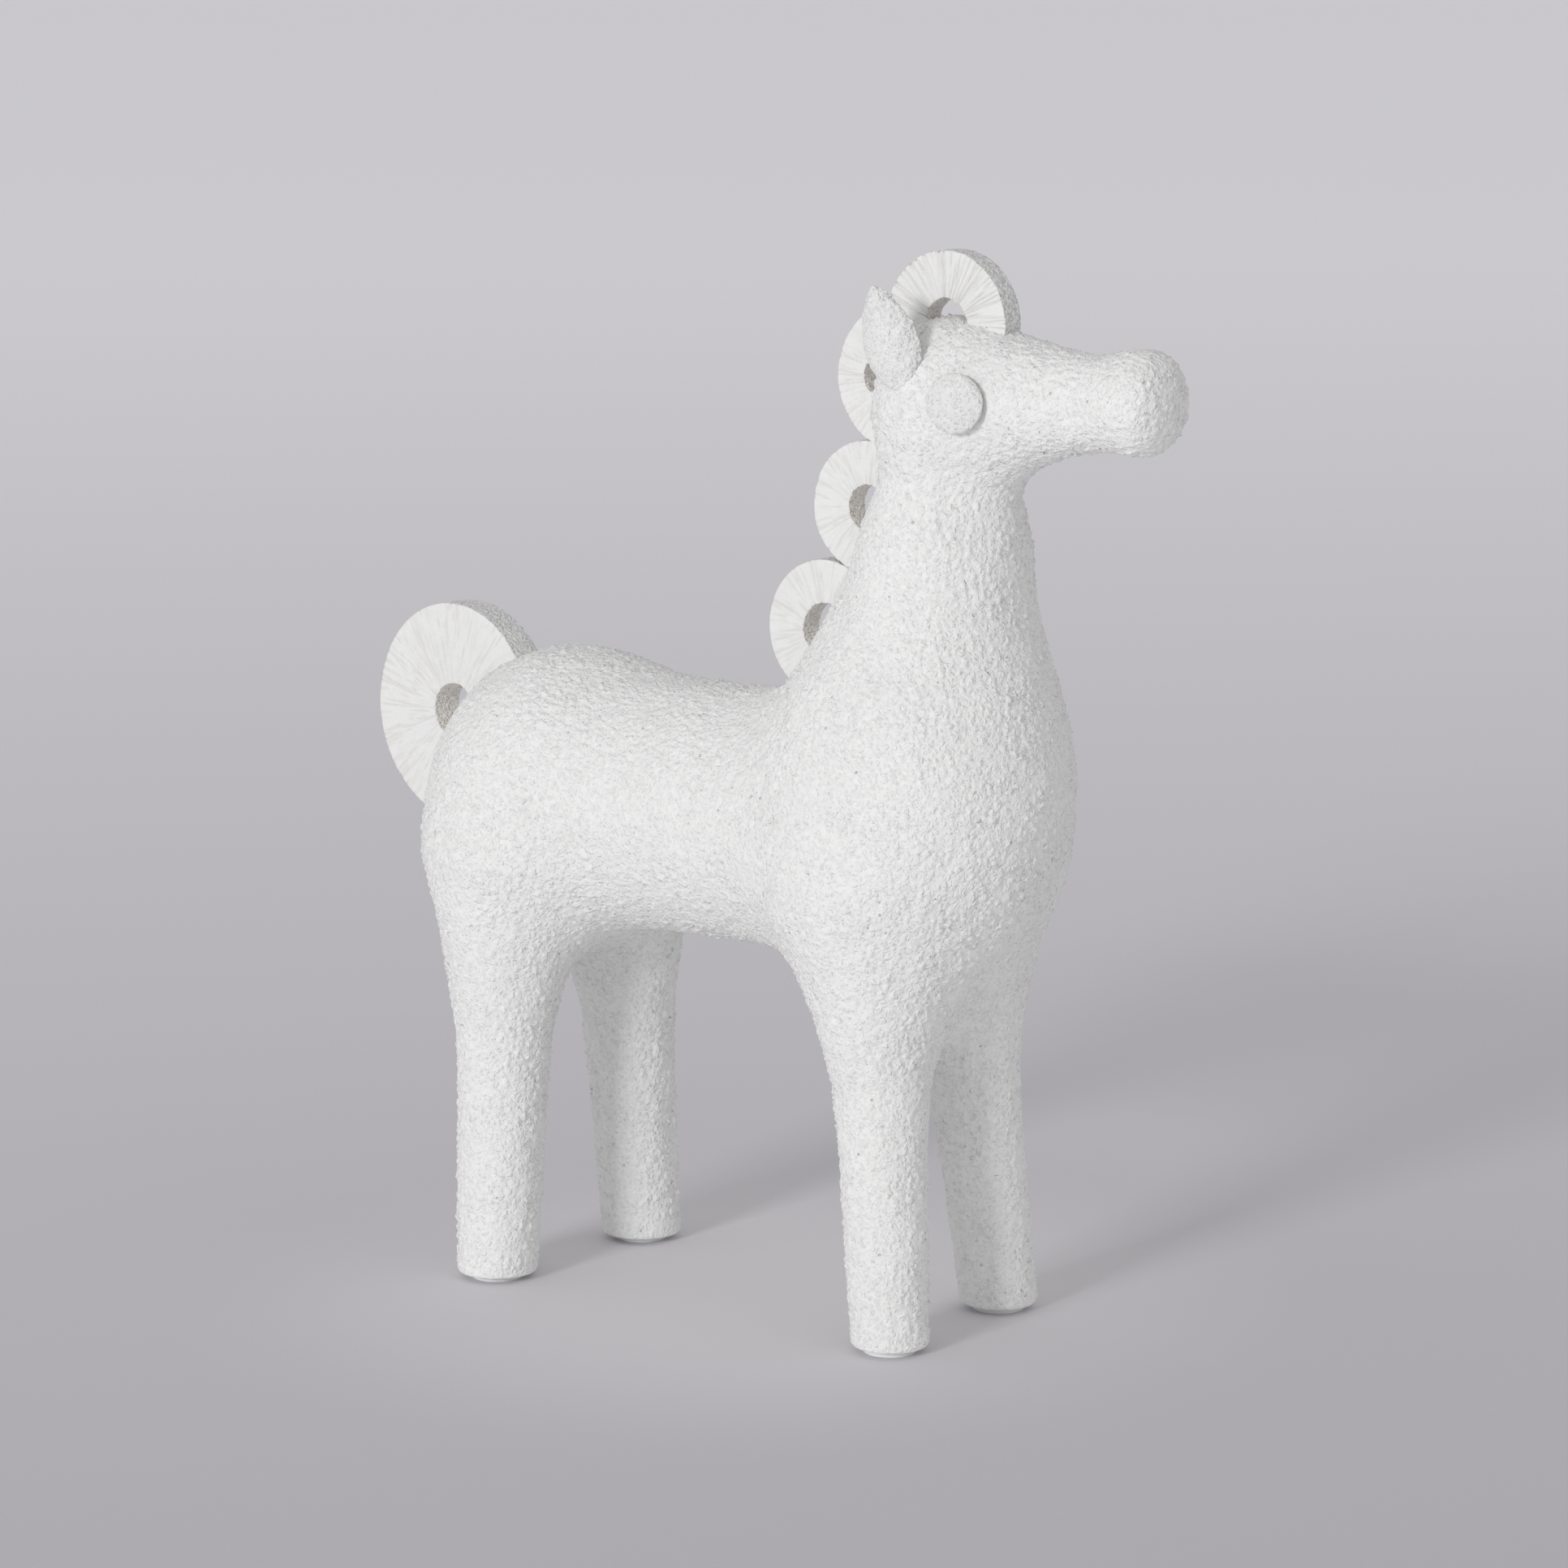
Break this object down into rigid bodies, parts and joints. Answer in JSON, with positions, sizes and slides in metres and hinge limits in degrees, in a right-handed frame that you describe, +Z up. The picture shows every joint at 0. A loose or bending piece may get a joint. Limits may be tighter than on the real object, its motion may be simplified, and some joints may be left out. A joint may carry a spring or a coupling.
{
  "type": "horse figurine",
  "caption": "Standing horse figurine in white grogged stoneware, with pierced discs for mane and tail and thin round pads under its feet.",
  "frame": {"origin": "on the ground, under the middle of the figure's box", "axes": "+X the way the horse looks, +Y to its left, +Z up"},
  "size_m": [0.4286, 0.1482, 0.4598],
  "materials": {
    "white_stoneware": "matte white glaze over coarse grogged clay",
    "foot_pad": "soft white self-adhesive pad"
  },
  "bodies": {
    "root": {"horse": "white_stoneware", "foot_pad_front_right": "foot_pad", "foot_pad_front_left": "foot_pad", "foot_pad_rear_right": "foot_pad", "foot_pad_rear_left": "foot_pad"}
  },
  "joints": []
}
